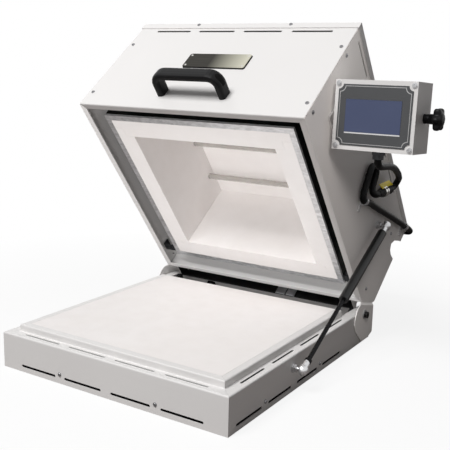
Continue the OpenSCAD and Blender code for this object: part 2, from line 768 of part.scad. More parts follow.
module lining_end() {
    difference() {
        union() {
            lining(-block_w / 2, -block_w / 2 + rebate, -chamber_d / 2 - rebate + fit,
                chamber_d / 2 + rebate - fit, fibre_face, chamber_top);
            lining(-block_w / 2, -chamber_w / 2, -chamber_d / 2 + fit, chamber_d / 2 - fit, fibre_face, chamber_top);
        }
        for (y = tube_y) translate([-block_w / 2 - 1, y, tube_z]) rotate([0, 90, 0])
            cylinder(d = tube_d + 0.4, h = wall_t + 2);
    }
}

module lining_left() {
    color(fibre) on_lid() lining_end();
}

module lining_right() {
    color(fibre) on_lid() mirror([1, 0, 0]) lining_end();
}

module lining_roof() {
    color(fibre) on_lid()
        lining(-block_w / 2, block_w / 2, -block_d / 2, block_d / 2, chamber_top + fit, chamber_top + roof_t);
}

tube_end = block_w / 2 + 4;
case_face = case_w / 2 - case_sheet - 0.2;
tail_end = case_face + 8;

module element_tubes() {
    color([0.8, 0.78, 0.76]) on_lid() for (y = tube_y) translate([-tube_end, y, tube_z])
        rotate([0, 90, 0]) difference() {
            cylinder(d = tube_d, h = 2 * tube_end);
            translate([0, 0, -1]) cylinder(d = tube_d - 2, h = 2 * tube_end + 2);
        }
}

// Heating coils, one wire each, with straight tails to the terminals.
curls = 27;
coil_r = tube_d / 2 - 1 - wire_d / 2 - 0.6;
coil_run = chamber_w + 20;
coil_points = concat(
    [[-tail_end, coil_r, 0], [-coil_run / 2 - 4, coil_r, 0]],
    [for (i = [0:curls * 8]) [-coil_run / 2 + coil_run * i / curls / 8,
        coil_r * cos(45 * i), coil_r * sin(45 * i)]],
    [[coil_run / 2 + 4, coil_r, 0], [tail_end, coil_r, 0]]);
coil_gap = min([for (i = [0:24], j = [i + 5:min(i + 20, 60)]) norm(coil_points[i + 2] - coil_points[j + 2])]) - wire_d;
echo(coil_least_gap = coil_gap);

module element_coils() {
    color([0.45, 0.42, 0.4]) on_lid() for (y = tube_y) translate([0, y, tube_z])
        swept(coil_points, ring(wire_d / 2, 6), [0, 0, 1]);
}

module element_terminals() {
    color([0.9, 0.88, 0.82]) on_lid() for (y = tube_y, s = [-1, 1])
        translate([s * (case_face + fit + 9.5), y, tube_z]) difference() {
            cube([19, 18, 15], center = true);
            translate([-30, coil_r, 0]) rotate([0, 90, 0]) cylinder(d = wire_d + 0.4, h = 60);
            for (x = [-5, 5]) translate([x, coil_r, 2]) cylinder(d = 4, h = 8);
        }
}

module thermocouple() {
    sheath = probe_in + wall_t + frame_w + 3;
    color(steel) on_lid() translate([probe_x, chamber_y - chamber_d / 2 + probe_in, probe_z]) rotate([90, 0, 0]) {
        cylinder(d = probe_d, h = sheath);
        translate([0, 0, sheath]) cylinder(d = 14, h = 9);
    }
}

handle_r = 18;
handle_mid = handle_out - grip_t / 2;
handle_path = concat(
    [[-handle_span / 2, 0, 0], [-handle_span / 2, 0, handle_mid * 0.35]],
    [for (w = [0:15:90]) [-handle_span / 2 + handle_r - handle_r * cos(w), 0,
        handle_mid - handle_r + handle_r * sin(w)]],
    [for (w = [90:-15:0]) [handle_span / 2 - handle_r + handle_r * cos(w), 0,
        handle_mid - handle_r + handle_r * sin(w)]],
    [[handle_span / 2, 0, handle_mid * 0.35], [handle_span / 2, 0, 0]]);

// A rectangle with well rounded edges, for the grip.
function soft_section(w, h, n) = [for (k = [0:n - 1]) let (c = cos(360 * k / n), s = sin(360 * k / n))
    [sign(c) * pow(abs(c), 0.55) * w / 2, sign(s) * pow(abs(s), 0.55) * h / 2]];

module handle() {
    color(black) on_lid() translate([0, -0.1, flange_z + handle_up]) rotate([90, 0, 0])
        swept(handle_path, soft_section(grip_t, grip_w, 20), [1, 0, 0]);
}

module on_plate(out) {
    on_lid() translate([0, -out, flange_z + plate_up]) rotate([90, 0, 0]) children();
}

module nameplate_backing() {
    color(black) on_plate(0.1) translate([0.8, -0.8, 0]) linear_extrude(1.6) rounded_rect(plate_w, plate_h, 4);
}

module nameplate() {
    color([0.72, 0.71, 0.66]) on_plate(1.8) linear_extrude(1) rounded_rect(plate_w - 1, plate_h - 1, 4);
}

module nameplate_rivets() {
    color(steel) on_plate(2.8) for (x = [-1, 1], y = [-1, 1])
        translate([x * (plate_w / 2 - 6), y * (plate_h / 2 - 6), 0]) cylinder(d1 = 4.4, d2 = 3, h = 0.9);
}

module at_lid_screws() {
    for (s = [-1, 1], z = [36, 190]) at_front(s * (half_w - 10.5), 0, flange_z + z) children();
    for (s = [-1, 1]) at_front(s * front_screw_x, -sheet - 0.2, lid_top - 4.5) children();
    for (s = [-1, 1], y = [12, lid_d - 12], z = [28, 181]) at_side(s, y, flange_z + z) children();
    for (s = [-1, 1], z = [20, 130, 228]) translate([s * (cover_half - 8), cover_back, flange_z + z])
        rotate([-90, 0, 0]) children();
}

module lid_screws() {
    color(steel) on_lid() at_lid_screws() screw_head(screw_d);
}

lug_face = half_w + lug_step;
bolt_head_d = 13.5;

module hinge_bolts() {
    color(black) on_lid() for (s = [-1, 1]) translate([0, hinge_y, hinge_z]) rotate([0, s * 90, 0]) {
        translate([0, 0, half_w - bush_in - 12]) cylinder(d = pivot_d, h = bush_in + 12 + lug_step + 3);
        translate([0, 0, half_w - bush_in - 9.6]) cylinder(d = 17, h = 8, $fn = 6);
        difference() {
            translate([0, 0, lug_face + 1.9]) cylinder(d = bolt_head_d, h = 5.5);
            translate([0, 0, lug_face + 4.4]) cylinder(d = 6.5, h = 6, $fn = 6);
        }
    }
}

module hinge_washers() {
    color(steel) on_lid() for (s = [-1, 1]) translate([0, hinge_y, hinge_z]) rotate([0, s * 90, 0]) difference() {
        translate([0, 0, lug_face + 0.1]) cylinder(d = bolt_head_d + 5, h = 1.6);
        cylinder(d = pivot_d + 0.2, h = 400);
    }
}

stem_end = 10;

module upper_stud() {
    color(steel) on_lid() translate([half_w, ball_up_y, ball_up_z]) rotate([0, 90, 0]) {
        translate([0, 0, -side_sheet - 7]) cylinder(d = 15, h = 6.8, $fn = 6);
        translate([0, 0, -side_sheet - 9]) cylinder(d = 8, h = side_sheet + 9 + stem_end);
        cylinder(d = 17, h = 1.6);
        cylinder(d = 15, h = 8, $fn = 6);
    }
}

// Gas spring, drawn upwards from the lower ball and then leaned to its line.
module on_spring() {
    from_front() translate([spring_x, ball_low_y, ball_low_z]) rotate([spring_angle - 90, 0, 0]) children();
}

module ball_socket() {
    difference() {
        union() {
            sphere(d = ball_d + 7);
            cylinder(d = 13, h = socket_len);
        }
        sphere(d = ball_d + 2 * running);
        translate([-30, -20, -20]) cube([30 - ball_d * 0.22, 40, 40]);
    }
}

module spring_rod() {
    rod_top = cyl_start + 12;
    color([0.15, 0.15, 0.16]) on_spring() {
        ball_socket();
        translate([0, 0, socket_len - 2]) cylinder(d = rod_d, h = rod_top - socket_len + 2);
        translate([0, 0, rod_top]) cylinder(d = cyl_d - 4, h = 8);
    }
}

module spring_cylinder() {
    color(black) on_spring() translate([0, 0, cyl_start]) difference() {
        cylinder(d = cyl_d, h = cyl_len);
        translate([0, 0, 8]) cylinder(d = cyl_d - 3, h = cyl_len - 16);
        translate([0, 0, -1]) cylinder(d = rod_d + 2 * running, h = 12);
    }
}

module upper_ball() {
    color(steel) on_spring() translate([0, 0, spring_len]) {
        difference() {
            union() {
                sphere(d = ball_d + 7);
                translate([0, 0, -socket_len + 2.1]) cylinder(d = 13, h = socket_len - 3);
            }
            translate([-30, -20, -20]) cube([30 - ball_d * 0.22, 40, 40]);
        }
        sphere(d = ball_d);
        translate([-ball_out + stem_end + 0.5, 0, 0]) rotate([0, 90, 0]) cylinder(d = 8, h = ball_out - stem_end - 1);
    }
}

// Controller, drawn about its tilt axis

module on_box() {
    from_front() translate([box_x, tilt_pos[0], tilt_pos[1]]) rotate([-box_lean, 0, 0]) children();
}

module controller_bracket() {
    color(white) on_lid() translate([half_w, tilt_y, flange_z + tilt_up]) rotate([0, 90, 0]) difference() {
        union() {
            translate([0, 0, 0.1]) linear_extrude(3) rounded_rect(70, 40, 5);
            cylinder(d = 26, h = box_gap - 0.4);
        }
        translate([0, 0, -1]) cylinder(d = tilt_rod_d + 0.2, h = 20);
        for (x = [-26, 26]) translate([x, 0, -1]) cylinder(d = 5, h = 10);
    }
}

module tilt_rod() {
    color(steel) from_front() translate([half_w, tilt_pos[0], tilt_pos[1]]) rotate([0, 90, 0]) {
        translate([0, 0, -side_sheet - 7]) cylinder(d = 14, h = 6.8, $fn = 6);
        translate([0, 0, -side_sheet - 9]) cylinder(d = tilt_rod_d, h = side_sheet + 9 + box_gap + box_w + 22);
        translate([0, 0, box_gap + box_w + 0.4]) cylinder(d = 16, h = 9.3);
    }
}

module control_housing() {
    color(white) on_box() difference() {
        translate([0, -axis_back + 2.2, -box_up]) cube([box_w, box_d - 2.2, box_h]);
        translate([sheet, -axis_back - 1, -box_up + sheet]) cube([box_w - 2 * sheet, box_d + 1 - sheet, box_h - 2 * sheet]);
        translate([-1, 0, 0]) rotate([0, 90, 0]) cylinder(d = tilt_rod_d + 2 * running, h = box_w + 2);
        for (z = [-30, -15, 15, 30]) translate([box_w / 2, box_d - axis_back - 4, z]) rotate([-90, 0, 0])
            linear_extrude(6) slot2(60, 4);
        translate([box_w * 0.45, gland_back, -box_up - 1]) cylinder(d = 16.2, h = 4);
    }
}

module control_front_plate() {
    color(white) on_box() difference() {
        translate([0, -axis_back, -box_up]) cube([box_w, 2, box_h]);
        for (x = [6, box_w - 6], z = [-1, 1]) translate([x, -axis_back - 1, z * (box_up - 6.5)])
            rotate([-90, 0, 0]) cylinder(d = 3.4, h = 5);
    }
}

module control_screws() {
    color(steel) on_box() for (x = [6, box_w - 6], z = [-1, 1])
        translate([x, -axis_back, z * (box_up - 6.5)]) rotate([90, 0, 0]) screw_head(9);
}

screen_x = box_w / 2 - 1.5;

module control_label() {
    color([0.25, 0.25, 0.26]) on_box() translate([box_w / 2, -axis_back - 0.1, 0]) rotate([90, 0, 0])
        linear_extrude(0.8) difference() {
            square([label_w, label_h], center = true);
            for (x = [-1, 1], y = [-1, 1]) translate([x * label_w / 2, y * label_h / 2]) circle(label_notch);
            translate([screen_x - box_w / 2, -1]) square([screen_w + 0.6, screen_h + 0.6], center = true);
        }
}

module touch_screen() {
    color([0.33, 0.37, 0.49]) on_box() translate([screen_x, -axis_back - 0.1, -1]) rotate([90, 0, 0])
        linear_extrude(1.2) square([screen_w, screen_h], center = true);
}

module lead_gland() {
    color([0.3, 0.31, 0.33]) on_box() translate([box_w * 0.45, gland_back, -box_up]) difference() {
        union() {
            translate([0, 0, -8]) cylinder(d = 24, h = 7.8, $fn = 6);
            translate([0, 0, -gland_len]) cylinder(d = 19, h = 10);
            translate([0, 0, -1]) cylinder(d = 16, h = sheet + 7);
            translate([0, 0, sheet + 0.2]) cylinder(d = 22, h = 5, $fn = 6);
        }
        translate([0, 0, -17]) cylinder(d = 10, h = 40);
    }
}

knob_lobes = 6;

module knob() {
    color(black) from_front() translate([knob_in, tilt_pos[0], tilt_pos[1]]) rotate([0, 90, 0]) difference() {
        union() {
            cylinder(d1 = 24, d2 = 30, h = 7);
            translate([0, 0, 6.9]) difference() {
                cylinder(d = knob_d, h = 13);
                for (i = [0:knob_lobes - 1]) rotate([0, 0, i * 360 / knob_lobes])
                    translate([knob_d * 0.62, 0, -1]) cylinder(d = knob_d * 0.42, h = 16);
            }
            translate([0, 0, 19.8]) cylinder(d1 = 22, d2 = 16, h = 2.4);
        }
        translate([0, 0, -1]) cylinder(d = tilt_rod_d + 2 * running, h = 15);
    }
}

// Cable on the lid's side

cable_ring = ring(cable_d / 2, 10);

module controller_lead() {
    color(black) swept(smooth(lead_route), cable_ring, [1, 0, 0]);
}

module panel_cable() {
    color(black) swept(smooth(cable_route), cable_ring, [1, 0, 0]);
}

module on_plug() {
    translate(plug_from) rotate([-90, 0, -atan2(plug_axis[0], plug_axis[1])])
        rotate([asin(plug_axis[2]), 0, 0]) children();
}

module cable_connector() {
    color(black) on_plug() {
        translate([0, 0, 0.2]) cylinder(d1 = cable_d + 1, d2 = 17, h = plug_len * 0.3);
        translate([0, 0, plug_len * 0.55]) cylinder(d = 20, h = plug_len * 0.3);
        translate([0, 0, plug_len * 0.84]) cylinder(d1 = 20, d2 = cable_d + 1, h = plug_len * 0.16 - 0.2);
    }
}

module connector_rings() {
    color(steel) on_plug() {
        translate([0, 0, plug_len * 0.3 + 0.3]) cylinder(d = 21, h = plug_len * 0.1);
        translate([0, 0, plug_len * 0.4 + 0.2]) cylinder(d = 17, h = plug_len * 0.15 - 0.3);
        translate([0, 0, plug_len * 0.44]) cylinder(d = 22, h = plug_len * 0.08);
    }
}

module release_strap() {
    color([0.87, 0.72, 0.1]) on_plug() difference() {
        translate([-6, -12.8, 12]) cube([12, 1.5, 46]);
        translate([0, -10, 46]) rotate([90, 0, 0]) cylinder(d = 4.6, h = 6);
    }
}

module clip_at(p, v, wide) {
    translate(p) rotate([atan2(v[2], v[1]) - 90, 0, 0]) difference() {
        union() {
            cylinder(d = cable_d + 4, h = wide, center = true);
            translate([-cable_d / 2 - 0.7, cable_d / 2 + 6, 0]) cube([2.4, 18, wide], center = true);
        }
        cylinder(d = cable_d + 0.6, h = wide + 2, center = true);
    }
}

module cable_clips() {
    color([0.3, 0.3, 0.31]) {
        clip_at(cable_route[13], cable_route[14] - cable_route[12], 6);
        clip_at(cable_route[19], cable_route[20] - cable_route[18], 10);
    }
}

// The boot behind the lid, where the cable turns down and into the wiring cover.
module cable_elbow() {
    p = [half_w - 44, arm_end + 11, lid_top - 6];
    drop = 38;
    color(black) on_lid() difference() {
        union() {
            translate(p + [-20, 0, 0]) rotate([0, 90, 0]) cylinder(d = cable_d + 5, h = 24);
            translate(p + [-20, 0, -drop]) cylinder(d = cable_d + 5, h = drop);
            translate(p + [-20, 0, 0]) sphere(d = cable_d + 5);
            translate(p + [-20, 0, -drop]) sphere(d = cable_d + 5);
            translate([p[0] - 20, cover_back + 0.2, p[2] - drop]) rotate([-90, 0, 0])
                cylinder(d = cable_d + 5, h = p[1] - cover_back - 0.2);
            translate([p[0] - 20, cover_back + 0.2, p[2] - drop]) rotate([-90, 0, 0]) cylinder(d = 27, h = 5, $fn = 6);
        }
        translate(p - [0.2, 0, 0]) rotate([0, 90, 0]) cylinder(d = cable_d + 0.4, h = 20);
    }
}

base_front_panel();
base_left_panel();
base_right_panel();
base_rear_panel();
base_pan();
hearth_board();
hearth_insulation();
hearth_supports();
well_divider();
base_screws();
hinge_bushes();
lower_ball_stud();
power_gland();
lid_front_panel();
lid_left_side();
lid_right_side();
lid_rear_panel();
lid_top_cover();
wiring_cover();
cover_straps();
liner_frame();
inner_case();
case_insulation();
corner_brackets();
lining_front();
lining_rear();
lining_left();
lining_right();
lining_roof();
element_tubes();
element_coils();
element_terminals();
thermocouple();
handle();
nameplate_backing();
nameplate();
nameplate_rivets();
lid_screws();
hinge_bolts();
hinge_washers();
upper_stud();
controller_bracket();
tilt_rod();
cable_clips();
cable_elbow();
panel_cable();
cable_connector();
connector_rings();
release_strap();
controller_lead();
spring_rod();
spring_cylinder();
upper_ball();
control_housing();
control_front_plate();
control_screws();
control_label();
touch_screen();
lead_gland();
knob();
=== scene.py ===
import json
import math

import bmesh
import bpy
from mathutils import Matrix, Vector


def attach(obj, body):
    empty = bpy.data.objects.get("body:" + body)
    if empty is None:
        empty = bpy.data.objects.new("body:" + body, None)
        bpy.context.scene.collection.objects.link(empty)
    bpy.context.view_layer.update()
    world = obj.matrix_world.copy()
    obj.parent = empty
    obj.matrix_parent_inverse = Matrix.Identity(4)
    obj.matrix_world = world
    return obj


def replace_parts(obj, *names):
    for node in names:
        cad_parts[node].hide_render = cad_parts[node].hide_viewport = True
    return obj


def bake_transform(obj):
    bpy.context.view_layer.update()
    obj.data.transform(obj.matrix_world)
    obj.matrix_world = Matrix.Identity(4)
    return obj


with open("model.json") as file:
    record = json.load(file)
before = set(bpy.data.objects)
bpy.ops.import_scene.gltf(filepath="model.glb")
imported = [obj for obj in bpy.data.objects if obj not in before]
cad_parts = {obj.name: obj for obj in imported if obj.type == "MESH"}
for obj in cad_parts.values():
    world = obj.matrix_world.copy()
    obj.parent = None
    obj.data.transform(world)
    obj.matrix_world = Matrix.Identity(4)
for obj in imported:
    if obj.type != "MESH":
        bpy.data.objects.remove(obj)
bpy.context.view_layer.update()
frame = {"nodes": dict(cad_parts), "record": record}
nodes = frame["nodes"]
scene = bpy.context.scene
print("frame loaded:", len(nodes), "nodes")


class Wire:
    # a number socket that can be written into sums and comparisons
    def __init__(self, finish, socket):
        self.finish = finish
        self.socket = socket

    def __add__(self, other):
        return self.finish.maths("ADD", self, other)

    def __radd__(self, other):
        return self.finish.maths("ADD", other, self)

    def __sub__(self, other):
        return self.finish.maths("SUBTRACT", self, other)

    def __rsub__(self, other):
        return self.finish.maths("SUBTRACT", other, self)

    def __mul__(self, other):
        return self.finish.maths("MULTIPLY", self, other)

    def __rmul__(self, other):
        return self.finish.maths("MULTIPLY", other, self)

    def __gt__(self, other):
        return self.finish.maths("GREATER_THAN", self, other)

    def __lt__(self, other):
        return self.finish.maths("LESS_THAN", self, other)


class Finish:
    # one procedural material on the object's own coordinates
    def __init__(self, name, **fixed):
        self.material = bpy.data.materials.new(name)
        self.material.use_nodes = True
        self.tree = self.material.node_tree
        self.shader = self.tree.nodes["Principled BSDF"]
        self.output = self.tree.nodes["Material Output"]
        for socket, value in fixed.items():
            self.shader.inputs[socket.replace("_", " ")].default_value = value
        self.place = self.node("TexCoord", {}, {}, "Object")

    def put(self, socket, value):
        if isinstance(value, Wire):
            self.tree.links.new(value.socket, socket)
        elif isinstance(value, tuple) and len(value) == 3 and socket.type == "RGBA":
            socket.default_value = (*value, 1.0)
        else:
            socket.default_value = value

    def node(self, kind, settings, sockets, out=0):
        made = self.tree.nodes.new("ShaderNode" + kind)
        for key, value in settings.items():
            setattr(made, key, value)
        for key, value in sockets.items():
            self.put(made.inputs[key], value)
        return Wire(self, made.outputs[out])

    def maths(self, operation, first, second=0.0):
        return self.node("Math", {"operation": operation}, {0: first, 1: second})

    def noise(self, scale, detail=3.0, rough=0.5, stretch=None):
        place = self.place
        if stretch:
            place = self.node("Mapping", {}, {"Vector": place, "Scale": stretch})
        return self.node("TexNoise", {}, {"Vector": place, "Scale": scale, "Detail": detail, "Roughness": rough})

    def ramp(self, value, low, high):
        return self.node("MapRange", {"clamp": True}, {"Value": value, 1: low, 2: high, 3: 0.0, 4: 1.0})

    def blend(self, factor, first, second):
        mixed = self.tree.nodes.new("ShaderNodeMix")
        mixed.data_type = "RGBA"
        self.put(mixed.inputs["Factor"], factor)
        self.put(mixed.inputs["A"], first)
        self.put(mixed.inputs["B"], second)
        return Wire(self, mixed.outputs["Result"])

    def axis(self, which):
        return self.node("SeparateXYZ", {}, {0: self.place}, which)

    def along(self, direction):
        return self.node("VectorMath", {"operation": "DOT_PRODUCT"}, {0: self.place, 1: direction}, "Value")

    def set(self, **sockets):
        for key, value in sockets.items():
            self.put(self.shader.inputs[key.replace("_", " ")], value)
        return self

    def bump(self, height, depth, strength):
        normal = self.node("Bump", {}, {"Strength": strength, "Distance": depth, "Height": height})
        self.put(self.shader.inputs["Normal"], normal)
        return self


def scaled(tone, times, plus=0.0):
    return tuple(min(1.0, c * times + plus) for c in tone)


# the open lid's own directions: out through its front, up from its flange, and backwards
lidAxes = {"out": (0.0, -0.6046, 0.7965), "up": (0.0, 0.7965, 0.6046), "back": (0.0, 0.6046, -0.7965)}

paint = {"tone": (0.80, 0.785, 0.775), "shade": 0.965, "cloud": 3.0, "cloudSpan": (0.3, 0.7), "gloss": 0.4,
         "rub": 9.0, "rubDepth": 0.10, "roughness": 0.37, "peel": 1100.0, "peelDepth": 0.0006, "peelPull": 0.22}


def powderCoat(name):
    f = Finish(name, Specular_IOR_Level=paint["gloss"])
    cloud = f.ramp(f.noise(paint["cloud"], 2.0), *paint["cloudSpan"])
    peel = f.noise(paint["peel"], 2.0, 0.55)
    f.set(Base_Color=f.blend(cloud, scaled(paint["tone"], paint["shade"]), paint["tone"]),
          Roughness=f.noise(paint["rub"]) * paint["rubDepth"] + paint["roughness"])
    return f.bump(peel, paint["peelDepth"], paint["peelPull"])


# painted shade: the wiring cover's inside faces, where it closes the well behind the chamber, are painted near black
# for the deep shade there
cover = {"depth": 0.10066, "halfWidth": 0.2172, "paintedShadeTone": (0.012, 0.012, 0.012)}


def coverWithPaintedShade(name):
    f = powderCoat(name)
    inner = f.along(lidAxes["back"]) < cover["depth"]
    between = f.maths("ABSOLUTE", f.axis(0)) < cover["halfWidth"]
    # painted shade: the inside faces between the side walls take the near-black shade tone
    return f.set(Base_Color=f.blend(inner * between, paint["tone"], cover["paintedShadeTone"]))


zinc = {"tone": (0.84, 0.845, 0.86), "shade": 0.80, "metallic": 0.85, "spangle": 55.0, "streak": 14.0,
        "spanglePart": 0.7, "roughness": 0.28, "roughnessSpan": 0.22, "depth": 0.0004, "pull": 0.2}


def galvanised(name):
    f = Finish(name, Metallic=zinc["metallic"], Specular_IOR_Level=0.5)
    spangle = f.node("TexVoronoi", {"feature": "F1"},
                     {"Vector": f.place, "Scale": zinc["spangle"], "Randomness": 1.0}, "Color")
    grey = f.node("RGBToBW", {}, {0: spangle})
    streak = f.noise(zinc["streak"])
    mottle = grey * zinc["spanglePart"] + streak * (1.0 - zinc["spanglePart"])
    f.set(Base_Color=f.blend(mottle, scaled(zinc["tone"], zinc["shade"]), zinc["tone"]),
          Roughness=zinc["roughness"] + grey * zinc["roughnessSpan"])
    return f.bump(streak + grey * 0.2, zinc["depth"], zinc["pull"])


# painted shade: the liner frame keeps its mottled galvanised colour at the mouth and is painted near black down the
# gap round it, for the deep shade there
linerFrame = {"gapFrom": 0.2482, "mottle": 190.0, "mottleSpan": (0.3, 0.7), "shade": 0.68,
              "paintedShadeTone": (0.008, 0.010, 0.009)}


def frameWithPaintedShade(name):
    f = galvanised(name)
    mottle = f.ramp(f.noise(linerFrame["mottle"], 3.0, 0.6, (0.4, 1, 1)), *linerFrame["mottleSpan"])
    bright = f.blend(mottle, scaled(zinc["tone"], linerFrame["shade"]), zinc["tone"])
    # painted shade: beyond the mouth, down the gap, the frame is painted near black
    gap = f.along(lidAxes["up"]) > linerFrame["gapFrom"]
    return f.set(Base_Color=f.blend(gap, bright, linerFrame["paintedShadeTone"]))


fibre = {"hairs": 420.0, "lumps": 26.0, "lumpSpan": (0.35, 0.72), "lumpPart": 0.6, "stain": 5.0,
         "stainSpan": (0.45, 0.8), "stainPart": 0.35, "warmth": (0.97, 0.945, 0.92), "roughness": 0.86,
         "depth": 0.0007, "pull": 0.5}


def fibreBoard(name, tone, shade, coarse=1.0):
    f = Finish(name, Specular_IOR_Level=0.15)
    hairs = f.noise(fibre["hairs"] * coarse, 4.0, 0.7, (1, 0.35, 1))
    lumps = f.ramp(f.noise(fibre["lumps"] * coarse, 4.0, 0.6), *fibre["lumpSpan"])
    stain = f.ramp(f.noise(fibre["stain"]), *fibre["stainSpan"])
    warm = tuple(c * w for c, w in zip(tone, fibre["warmth"]))
    f.set(Base_Color=f.blend(stain * fibre["stainPart"], f.blend(lumps * fibre["lumpPart"], tone, shade), warm),
          Roughness=fibre["roughness"] + hairs * 0.1)
    return f.bump(hairs * 0.6 + lumps * 0.5, fibre["depth"], fibre["pull"])


steel = {"scuff": 260.0, "shade": 0.78, "roughnessSpan": 0.2, "depth": 0.0003, "pull": 0.12}


def plainSteel(name, tone, roughness=0.3, metallic=1.0):
    f = Finish(name, Metallic=metallic)
    scuff = f.noise(steel["scuff"], 3.0, 0.6)
    f.set(Base_Color=f.blend(scuff, scaled(tone, steel["shade"]), tone),
          Roughness=scuff * steel["roughnessSpan"] + (roughness - 0.08))
    return f.bump(scuff, steel["depth"], steel["pull"])


# rods are bare steel up to a place on one axis and black beyond it
rods = {"black": (0.012, 0.012, 0.013), "metallic": 0.85, "polish": 300.0, "roughness": 0.22, "roughnessSpan": 0.12}


def twoTone(name, axis, change, bare):
    f = Finish(name, Metallic=rods["metallic"])
    polish = f.noise(rods["polish"], 2.0)
    return f.set(Base_Color=f.blend(f.axis(axis) > change, bare, rods["black"]),
                 Roughness=rods["roughness"] + polish * rods["roughnessSpan"])


plastic = {"soft": 18.0, "lift": 1.25, "liftPlus": 0.004, "roughnessSpan": 0.1, "depth": 0.0005}


def mouldedPlastic(name, tone, roughness=0.4, grain=900.0, pull=0.25, gloss=0.5):
    f = Finish(name, Specular_IOR_Level=gloss)
    fine = f.noise(grain, 3.0, 0.6)
    soft = f.noise(plastic["soft"], 2.0)
    f.set(Base_Color=f.blend(soft, tone, scaled(tone, plastic["lift"], plastic["liftPlus"])),
          Roughness=soft * plastic["roughnessSpan"] + (roughness - 0.05))
    return f.bump(fine, plastic["depth"], pull)


# painted shade: a black spot with a dip in the bump stands for the screw pocket in each knuckle of the handle; the
# pocket is not cut in the shape
handle = {"tone": (0.005, 0.005, 0.0055), "gloss": 0.14, "roughness": 0.37, "grain": 900.0, "pull": 0.5,
          "pocketAcross": 0.0700, "pocketHeight": 0.2763, "pocketRadius": 0.0060, "pocketFloor": 0.435,
          "pocketPaintedShade": (0.0, 0.0, 0.0), "pocketRoughness": 0.4}


def handleMoulding(name):
    f = Finish(name, Specular_IOR_Level=handle["gloss"])
    soft = f.noise(plastic["soft"], 2.0)
    fine = f.noise(handle["grain"], 3.0, 0.6)
    across = f.maths("ABSOLUTE", f.axis(0)) - handle["pocketAcross"]
    upward = f.along(lidAxes["up"]) - handle["pocketHeight"]
    pocket = (across * across + upward * upward) < handle["pocketRadius"] ** 2
    pocket = pocket * (f.along(lidAxes["out"]) > handle["pocketFloor"])
    skin = f.blend(soft, handle["tone"], scaled(handle["tone"], plastic["lift"], plastic["liftPlus"]))
    # painted shade: the pocket's spot is painted black for the shade inside it
    f.set(Base_Color=f.blend(pocket, skin, handle["pocketPaintedShade"]),
          Roughness=soft * plastic["roughnessSpan"] + pocket * handle["pocketRoughness"] + handle["roughness"])
    return f.bump(fine * 0.1 - pocket, plastic["depth"], handle["pull"])


rubber = {"tone": (0.002, 0.002, 0.0022), "lift": 1.6, "liftPlus": 0.002, "gloss": 0.12, "rub": 60.0, "grain": 1300.0,
          "roughness": 0.38, "roughnessSpan": 0.18, "depth": 0.0004, "pull": 0.3}


def cableRubber(name):
    f = Finish(name, Specular_IOR_Level=rubber["gloss"])
    rub = f.noise(rubber["rub"])
    fine = f.noise(rubber["grain"], 2.0)
    f.set(Base_Color=f.blend(rub, rubber["tone"], scaled(rubber["tone"], rubber["lift"], rubber["liftPlus"])),
          Roughness=rubber["roughness"] + rub * rubber["roughnessSpan"])
    return f.bump(fine, rubber["depth"], rubber["pull"])


quartz = {"low": (0.56, 0.53, 0.49), "high": (0.78, 0.75, 0.71), "milk": 40.0, "alpha": 0.30, "alphaSpan": 0.25}


def quartzGlass(name):
    f = Finish(name, Roughness=0.12, IOR=1.46, Specular_IOR_Level=0.6)
    milk = f.noise(quartz["milk"], 3.0, 0.6, (0.3, 1, 1))
    return f.set(Base_Color=f.blend(milk, quartz["low"], quartz["high"]),
                 Alpha=quartz["alpha"] + milk * quartz["alphaSpan"])


# the nameplate is brushed along its length, dark at the left and cream at the right
plate = {"left": (0.02, 0.019, 0.017), "right": (0.6, 0.585, 0.48), "sweep": (-0.012, 0.066), "grain": 900.0,
         "grainTone": (0.5, 0.48, 0.43), "grainPart": 0.12, "roughness": 0.55, "depth": 0.0003, "pull": 0.2}


def brushedPlate(name):
    f = Finish(name, Metallic=0.1, Specular_IOR_Level=0.05)
    grain = f.noise(plate["grain"], 4.0, 0.65, (0.02, 1, 1))
    sweep = f.blend(f.ramp(f.axis(0), *plate["sweep"]), plate["left"], plate["right"])
    f.set(Base_Color=f.blend(grain * plate["grainPart"], sweep, plate["grainTone"]),
          Roughness=plate["roughness"] + grain * 0.2)
    return f.bump(grain, plate["depth"], plate["pull"])


screen = {"low": (0.072, 0.088, 0.16), "high": (0.095, 0.115, 0.195), "haze": 7.0, "roughness": 0.3, "gloss": 0.12}


def screenGlass(name):
    f = Finish(name, Specular_IOR_Level=screen["gloss"])
    haze = f.noise(screen["haze"], 2.0)
    return f.set(Base_Color=f.blend(haze, screen["low"], screen["high"]), Roughness=screen["roughness"] + haze * 0.08)


